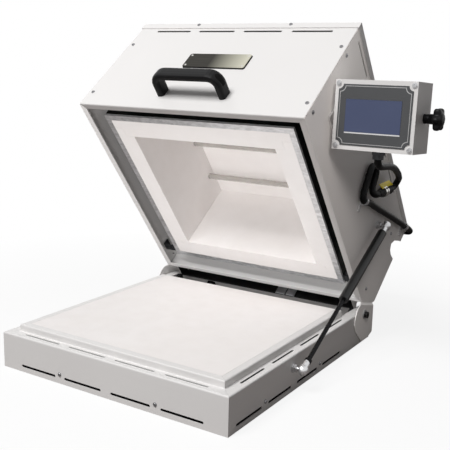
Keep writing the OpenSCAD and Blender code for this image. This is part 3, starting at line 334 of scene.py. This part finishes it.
slotFinish = {
    "white_paint": powderCoat("whitePowderCoat"),
    "galvanised_sheet": galvanised("galvanisedSheet"),
    "fibre_board": fibreBoard("fibreBoard", (0.915, 0.885, 0.872), (0.865, 0.83, 0.812)),
    "fibre_blanket": fibreBoard("fibreBlanket", (0.82, 0.80, 0.77), (0.72, 0.69, 0.66), 0.6),
    "plain_steel": plainSteel("zincPlatedSteel", (0.62, 0.62, 0.63)),
    "black_steel": mouldedPlastic("blackPaintedSteel", (0.006, 0.006, 0.0065), 0.3, 700.0, 0.1, 0.35),
    "spring_rod_steel": twoTone("springRodSteel", 1, -0.055, (0.7, 0.7, 0.71)),
    "dark_bracket": plainSteel("darkBracketSteel", (0.06, 0.065, 0.07), 0.45, 0.5),
    "quartz": quartzGlass("quartzTube"),
    "heating_wire": plainSteel("heatingWire", (0.10, 0.088, 0.078), 0.5, 0.6),
    "terminal_ceramic": mouldedPlastic("terminalCeramic", (0.78, 0.74, 0.66), 0.3, 300.0, 0.1),
    "handle_plastic": mouldedPlastic("handlePlastic", handle["tone"], 0.42, gloss=handle["gloss"]),
    "nameplate_metal": brushedPlate("brushedNameplate"),
    "rivet_metal": plainSteel("nickelPlate", (0.72, 0.71, 0.68), 0.22),
    "cable_rubber": cableRubber("cableRubber"),
    "yellow_strap": mouldedPlastic("yellowStrap", (0.98, 0.68, 0.02), 0.42, 500.0, 0.15),
    "label_film": mouldedPlastic("labelFilm", (0.052, 0.054, 0.057), 0.5, 1500.0, 0.12),
    "screen_glass": screenGlass("touchScreen"),
}

# nodes that look different from the rest of their slot
darkScrew = plainSteel("darkScrewSteel", (0.34, 0.34, 0.35), 0.35)
ownFinish = {
    "liner_frame": frameWithPaintedShade("linerFramePaintedShade"),
    # painted shade: the inner case is painted near black for the shade in the gap round the liner
    "inner_case": plainSteel("caseSheetPaintedShade", (0.02, 0.025, 0.023), 0.6, 0.3),
    "wiring_cover": coverWithPaintedShade("coverPowderCoatPaintedShade"),
    "tilt_rod": twoTone("tiltRodSteel", 0, 0.3962, (0.62, 0.62, 0.63)),
    "handle": handleMoulding("handleMoulding"),
    "lid_screws": darkScrew,
    "base_screws": darkScrew,
    "lead_gland": mouldedPlastic("glandNylon", (0.05, 0.056, 0.064), 0.45),
    "cable_clips": plainSteel("clipSteel", (0.62, 0.62, 0.63)),
}

for row in frame["record"]["subparts"]:
    shown = nodes[row["node"]]
    shown.data.materials.clear()
    finish = ownFinish.get(row["node"], slotFinish[row["material_slot"]])
    shown.data.materials.append(finish.material)
print("finishes on CAD nodes:", len(slotFinish) + len(ownFinish))


def pieceFrom(name, work, slotName, body, finish=None, smooth=False):
    mesh = bpy.data.meshes.new(name)
    work.to_mesh(mesh)
    work.free()
    made = bpy.data.objects.new(name, mesh)
    scene.collection.objects.link(made)
    mesh.materials.append((finish or slotFinish[slotName]).material)
    for face in mesh.polygons:
        face.use_smooth = smooth
    if body:
        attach(made, body)
    return made


# the routes follow those in the part's source, in metres, with a closer service loop
cables = {
    "width": 0.0128, "sides": 24, "between": 5,
    "lead": [
        (0.3179, 0.0702, 0.3948), (0.3178, 0.0712, 0.3895), (0.3170, 0.0790, 0.3835), (0.3145, 0.1050, 0.3790),
        (0.3090, 0.1500, 0.3745), (0.3010, 0.1970, 0.3660), (0.2910, 0.2420, 0.3530), (0.2810, 0.2800, 0.3400),
        (0.2710, 0.3050, 0.3270), (0.2640, 0.3060, 0.3155), (0.26265, 0.29299, 0.31221), (0.2625, 0.290, 0.312),
    ],
    "leadBend": {"start": (0.3179, 0.0900, 0.3750), "end": (0.2800, 0.2870, 0.3360)},
    "panel": [
        (0.2595, 0.232, 0.308), (0.25935, 0.22901, 0.30779), (0.2590, 0.223, 0.3074), (0.256, 0.216, 0.311),
        (0.253, 0.217, 0.320), (0.253, 0.222, 0.332), (0.253, 0.229, 0.343), (0.253, 0.231, 0.354),
        (0.252, 0.225, 0.362), (0.251, 0.214, 0.362), (0.251, 0.204, 0.352), (0.251, 0.195, 0.339),
        (0.251, 0.186, 0.325), (0.251, 0.179, 0.312), (0.251, 0.181, 0.301), (0.251, 0.191, 0.296),
        (0.251, 0.206, 0.294), (0.251, 0.240, 0.281), (0.251, 0.290, 0.262), (0.251, 0.341, 0.243),
        (0.251, 0.390, 0.224), (0.251, 0.422, 0.211), (0.251, 0.4543, 0.1975), (0.2504, 0.4615, 0.1929),
        (0.247, 0.4648, 0.1904), (0.2395, 0.4654, 0.1896), (0.2225, 0.4654, 0.1896), (0.1985, 0.4654, 0.1896),
    ],
}


def cableMesh(name, route):
    # a round tube along a smooth curve through the route's points
    curve = bpy.data.curves.new(name + "Curve", "CURVE")
    curve.dimensions = "3D"
    curve.bevel_depth = cables["width"] / 2
    curve.bevel_resolution = cables["sides"] // 4 - 2
    curve.resolution_u = cables["between"]
    curve.use_fill_caps = True
    spline = curve.splines.new("BEZIER")
    spline.bezier_points.add(len(route) - 1)
    for point, place in zip(spline.bezier_points, route):
        point.co = place
        point.handle_left_type = point.handle_right_type = "AUTO"
    shape = bpy.data.objects.new(name + "Shape", curve)
    scene.collection.objects.link(shape)
    bpy.context.view_layer.update()
    mesh = bpy.data.meshes.new_from_object(shape.evaluated_get(bpy.context.evaluated_depsgraph_get()))
    bpy.data.objects.remove(shape)
    work = bmesh.new()
    work.from_mesh(mesh)
    bmesh.ops.remove_doubles(work, verts=work.verts, dist=0.00001)
    bmesh.ops.recalc_face_normals(work, faces=work.faces)
    return work


work = cableMesh("panelCable", cables["panel"])
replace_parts(pieceFrom("panelCable", work, "cable_rubber", "lid", smooth=True), "panel_cable")
work = cableMesh("controllerLead", cables["lead"])
controllerLead = pieceFrom("controllerLead", work, "cable_rubber", None, smooth=True)
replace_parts(controllerLead, "controller_lead")
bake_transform(controllerLead)
print("cables laid")


# the control box leans back a little about its tilt axis
boxPose = {"left": 0.254, "tiltY": 0.06213, "tiltZ": 0.46941, "lean": 3.0, "face": -0.041, "width": 0.142}
boxMatrix = (Matrix.Translation((boxPose["left"] + boxPose["width"] / 2, boxPose["tiltY"], boxPose["tiltZ"]))
             @ Matrix.Rotation(math.radians(-boxPose["lean"]), 4, "X"))


def thickened(work, thick):
    # gives flat faces a thickness towards the front
    grown = bmesh.ops.extrude_face_region(work, geom=work.faces[:])
    moved = [item for item in grown["geom"] if isinstance(item, bmesh.types.BMVert)]
    bmesh.ops.translate(work, verts=moved, vec=(0.0, -thick, 0.0))
    bmesh.ops.recalc_face_normals(work, faces=work.faces)
    return work


def ringBand(outer, inner, thick):
    # a flat band between two outlines with the same number of points
    work = bmesh.new()
    loops = []
    for outline in (outer, inner):
        verts = [work.verts.new((x, 0.0, z)) for x, z in outline]
        loops += [work.edges.new((verts[i - 1], verts[i])) for i in range(len(verts))]
    bmesh.ops.bridge_loops(work, edges=loops)
    return thickened(work, thick)


def notched(width, height, notch):
    # a rectangle whose corners are cut out in quarter circles
    points = []
    for sx, sz in ((1, 1), (-1, 1), (-1, -1), (1, -1)):
        arc = []
        for step in range(7):
            turn = math.radians(15 * step)
            arc.append((sx * (width / 2 - notch * math.cos(turn)), sz * (height / 2 - notch * math.sin(turn))))
        points += arc if sx * sz < 0 else arc[::-1]
    return points


# on the front of the control box: a border line in print, and a painted highlight, a bright strip along the screen's
# lower edge
printAndHighlight = {
    "thick": 0.0002, "lift": 0.0009, "width": 0.1235, "height": 0.0955, "notch": 0.0092, "line": 0.0009,
    "edgeLeft": -0.050, "edgeRight": 0.047, "edgeTop": -0.0283, "edgeBottom": -0.0303,
}


def layOnBoxFront(name, work, finish):
    forwards = Matrix.Translation((0, boxPose["face"] - printAndHighlight["lift"], 0))
    bmesh.ops.transform(work, matrix=boxMatrix @ forwards, verts=work.verts)
    pieceFrom(name, work, "label_film", "controller", finish)


work = ringBand(
    notched(printAndHighlight["width"], printAndHighlight["height"], printAndHighlight["notch"]),
    notched(printAndHighlight["width"] - 2 * printAndHighlight["line"], printAndHighlight["height"] - 2 * printAndHighlight["line"], printAndHighlight["notch"]),
    printAndHighlight["thick"])
layOnBoxFront("labelBorder", work, plainSteel("silverPrint", (0.58, 0.58, 0.58), 0.35, 0.6))

work = bmesh.new()
corners = [("edgeLeft", "edgeBottom"), ("edgeRight", "edgeBottom"), ("edgeRight", "edgeTop"), ("edgeLeft", "edgeTop")]
work.faces.new([work.verts.new((printAndHighlight[x], 0.0, printAndHighlight[z])) for x, z in corners])
# painted highlight: a near-white strip stands for the light along the screen's lower edge
layOnBoxFront("screenEdgePaintedHighlight", thickened(work, printAndHighlight["thick"]), plainSteel("screenEdgePaintedHighlight", (0.9, 0.9, 0.9), 0.35, 0.3))
print("control box dressed")


# rings along the knob's axis as (place, radius, depth of its valleys)
knobShape = {"sides": 96, "valleys": 6, "start": 0.4060, "rings": [
    (0.0, 0.0084, 0.0), (0.0066, 0.0086, 0.0), (0.0074, 0.0120, 0.05), (0.0082, 0.0172, 0.24),
    (0.0098, 0.0193, 0.27), (0.0120, 0.0200, 0.28), (0.0155, 0.0200, 0.28), (0.0180, 0.0192, 0.27),
    (0.0196, 0.0172, 0.24), (0.0202, 0.0110, 0.05), (0.0216, 0.0098, 0.0), (0.0222, 0.0080, 0.0),
]}


def knobMesh():
    # circles with valleys pressed in, bridged one to the next, with the two ends closed
    work = bmesh.new()
    previous = None
    for count, (along, radius, valley) in enumerate(knobShape["rings"]):
        isEnd = count in (0, len(knobShape["rings"]) - 1)
        ring = bmesh.ops.create_circle(work, segments=knobShape["sides"], radius=radius, cap_ends=isEnd)["verts"]
        edges = list({edge for vert in ring for edge in vert.link_edges})
        for step, vert in enumerate(ring):
            turn = math.tau * step / knobShape["sides"]
            reach = radius * (1.0 - valley * (0.5 + 0.5 * math.cos(knobShape["valleys"] * turn)))
            vert.co = (along, reach * math.sin(turn), -reach * math.cos(turn))
        if previous:
            bmesh.ops.bridge_loops(work, edges=previous + edges)
        previous = edges
    bmesh.ops.recalc_face_normals(work, faces=work.faces)
    return work


work = knobMesh()
bmesh.ops.translate(work, vec=(knobShape["start"], boxPose["tiltY"], boxPose["tiltZ"]), verts=work.verts)
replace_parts(pieceFrom("lobedKnob", work, "handle_plastic", "clamp_knob", smooth=True), "knob")

# the strap's broad face turns a little towards the front right
strap = {"size": (0.0122, 0.047, 0.0018), "bevel": 0.0005, "place": (0.26125, 0.26605, 0.32245),
         "turn": 42.0, "along": (3.0, 58.0, 4.0)}
work = bmesh.new()
bmesh.ops.create_cube(work, size=1.0)
bmesh.ops.scale(work, vec=strap["size"], verts=work.verts)
bmesh.ops.bevel(work, geom=work.edges[:], offset=strap["bevel"], segments=2, affect="EDGES")
lean = Vector((0, 1, 0)).rotation_difference(Vector(strap["along"])).to_matrix()
bmesh.ops.rotate(work, matrix=lean @ Matrix.Rotation(math.radians(strap["turn"]), 3, "Y"), verts=work.verts)
bmesh.ops.translate(work, vec=strap["place"], verts=work.verts)
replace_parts(pieceFrom("turnedStrap", work, "yellow_strap", "lid"), "release_strap")

# painted shade: matt black strips stand close behind the slots, so that the slots show black for the shade behind
# them
# the lid's strips are placed with the lid shut and then opened about its hinge
opening = {"angle": -52.8, "hinge": Vector((0.0, 0.2353, 0.0585))}
lidMatrix = (Matrix.Translation(opening["hinge"]) @ Matrix.Rotation(math.radians(opening["angle"]), 4, "X")
             @ Matrix.Translation(-opening["hinge"]))
slotShades = {
    "lidFrontShade": {"middle": (0.0, -0.2705, 0.3030), "half": (0.206, 0.0003, 0.006), "body": "lid"},
    "lidRightShade": {"middle": (0.2395, -0.0610, 0.3030), "half": (0.0003, 0.197, 0.006), "body": "lid"},
    "baseFrontShade": {"middle": (0.0, -0.2705, 0.0110), "half": (0.206, 0.0003, 0.006), "body": "base"},
    "baseRightShade": {"middle": (0.2395, -0.0610, 0.0110), "half": (0.0003, 0.197, 0.006), "body": "base"},
    "ledgeFrontShade": {"middle": (0.0, -0.2605, 0.0635), "half": (0.206, 0.005, 0.0003), "body": "base"},
    "ledgeLeftShade": {"middle": (-0.2300, -0.0315, 0.0635), "half": (0.005, 0.197, 0.0003), "body": "base"},
    "ledgeRightShade": {"middle": (0.2300, -0.0315, 0.0635), "half": (0.005, 0.197, 0.0003), "body": "base"},
}
deepShade = mouldedPlastic("deepShade", (0.002, 0.002, 0.002), 0.9, gloss=0.0)
for name, strip in slotShades.items():
    work = bmesh.new()
    bmesh.ops.create_cube(work, size=2.0)
    bmesh.ops.scale(work, vec=strip["half"], verts=work.verts)
    bmesh.ops.translate(work, vec=strip["middle"], verts=work.verts)
    if strip["body"] == "lid":
        bmesh.ops.transform(work, matrix=lidMatrix, verts=work.verts)
    pieceFrom(name, work, "black_steel", strip["body"], deepShade)
print("knob, strap and slot shades made")


# a pale floor, a weak even fill and three area lamps
# the glow and the chamber lamp reach only the nodes whose names start as listed
studio = {"fill": 0.12, "floorWhite": 0.87, "floorTone": (0.31, 0.285, 0.275), "paperTone": (0.9, 0.9, 0.9),
          "floorHalf": 9.0, "floorDrop": 0.0006, "fade": (0.5, 1.1)}
lamps = {
    "keyLight": {"place": (-0.42, -2.35, 3.3), "target": (0.0, -0.05, 0.2), "size": 1.6, "power": 142.0,
                 "tint": (1.0, 1.0, 1.0), "lights": None},
    "rightGlow": {"place": (0.72, -0.62, 1.0), "target": (0.24, -0.3, 0.62), "size": 0.3, "power": 5.4,
                  "tint": (1.0, 0.94, 0.9), "lights": ("lid_right_side",)},
    "chamberLight": {"place": (0.2, -1.65, 0.2), "target": (0.0, 0.05, 0.3), "size": 1.0, "power": 26.0,
                     "tint": (1.0, 1.0, 1.0),
                     "lights": ("lining", "element", "liner", "inner", "lid_rear_panel", "lid_left_side")},
}


def makeFloor():
    work = bmesh.new()
    bmesh.ops.create_grid(work, x_segments=1, y_segments=1, size=studio["floorHalf"])
    mesh = bpy.data.meshes.new("floor")
    work.to_mesh(mesh)
    work.free()
    floor = bpy.data.objects.new("floor", mesh)
    scene.collection.objects.link(floor)
    floor.location.z = -studio["floorDrop"]
    # the camera sees white paper that keeps a pale shadow near the kiln
    f = Finish("paleFloor", Roughness=0.9, Specular_IOR_Level=0.0)
    seen = f.node("LightPath", {}, {}, "Is Camera Ray")
    away = f.node("VectorMath", {"operation": "LENGTH"}, {0: f.place}, "Value")
    f.set(Base_Color=f.blend(seen, studio["floorTone"], studio["paperTone"]))
    glow = f.node("Emission", {}, {"Color": (1.0, 1.0, 1.0)})
    fade = f.ramp(away, *studio["fade"])
    paper = seen * (studio["floorWhite"] + fade * (1.0 - studio["floorWhite"]))
    both = f.node("MixShader", {}, {0: paper, 1: Wire(f, f.shader.outputs[0]), 2: glow})
    f.put(f.output.inputs["Surface"], both)
    mesh.materials.append(f.material)


def makeWorld():
    world = bpy.data.worlds.new("studio")
    scene.world = world
    world.use_nodes = True
    tree = world.node_tree
    path = tree.nodes.new("ShaderNodeLightPath")

    def larger(first, second):
        most = tree.nodes.new("ShaderNodeMath")
        most.operation = "MAXIMUM"
        tree.links.new(first, most.inputs[0])
        tree.links.new(second, most.inputs[1])
        return most.outputs[0]

    shown = larger(larger(path.outputs["Is Camera Ray"], path.outputs["Is Glossy Ray"]),
                   path.outputs["Is Transmission Ray"])
    level = tree.nodes.new("ShaderNodeMapRange")
    tree.links.new(shown, level.inputs["Value"])
    level.inputs["To Min"].default_value = studio["fill"]
    level.inputs["To Max"].default_value = 1.0
    tree.links.new(level.outputs[0], tree.nodes["Background"].inputs["Strength"])
    tree.nodes["Background"].inputs["Color"].default_value = (1.0, 1.0, 1.0, 1.0)


def makeLamp(name, row):
    data = bpy.data.lights.new(name, "AREA")
    data.size = row["size"]
    data.energy = row["power"]
    data.color = row["tint"]
    made = bpy.data.objects.new(name, data)
    scene.collection.objects.link(made)
    made.location = row["place"]
    made.rotation_euler = (Vector(row["target"]) - Vector(row["place"])).to_track_quat("-Z", "Y").to_euler()
    if row["lights"]:
        receivers = bpy.data.collections.new(name + "Pieces")
        for node in nodes:
            if node.startswith(row["lights"]):
                receivers.objects.link(nodes[node])
        made.light_linking.receiver_collection = receivers


makeWorld()
makeFloor()
for name, row in lamps.items():
    makeLamp(name, row)

# the camera stands where the photograph's own corners put it
view = {"place": (0.81034, -1.18858, 0.55352), "yaw": -32.43, "pitch": 11.87, "roll": 1.27, "lens": 62.14,
        "film": 36.0, "farthest": 50.0}


def makeCamera():
    yaw, pitch, roll = (math.radians(view[key]) for key in ("yaw", "pitch", "roll"))
    ahead = Vector((math.sin(yaw) * math.cos(pitch), math.cos(yaw) * math.cos(pitch), -math.sin(pitch)))
    side = Vector((math.cos(yaw), -math.sin(yaw), 0.0))
    up = side.cross(ahead)
    across = side * math.cos(roll) + up * math.sin(roll)
    upward = up * math.cos(roll) - side * math.sin(roll)
    data = bpy.data.cameras.new("camera")
    data.lens = view["lens"]
    data.sensor_width = view["film"]
    data.clip_end = view["farthest"]
    camera = bpy.data.objects.new("camera", data)
    scene.collection.objects.link(camera)
    turned = Matrix((across, upward, -ahead)).transposed().to_4x4()
    camera.matrix_world = Matrix.Translation(view["place"]) @ turned
    scene.camera = camera


makeCamera()
scene.view_settings.view_transform = "Standard"
print("studio and camera ready")
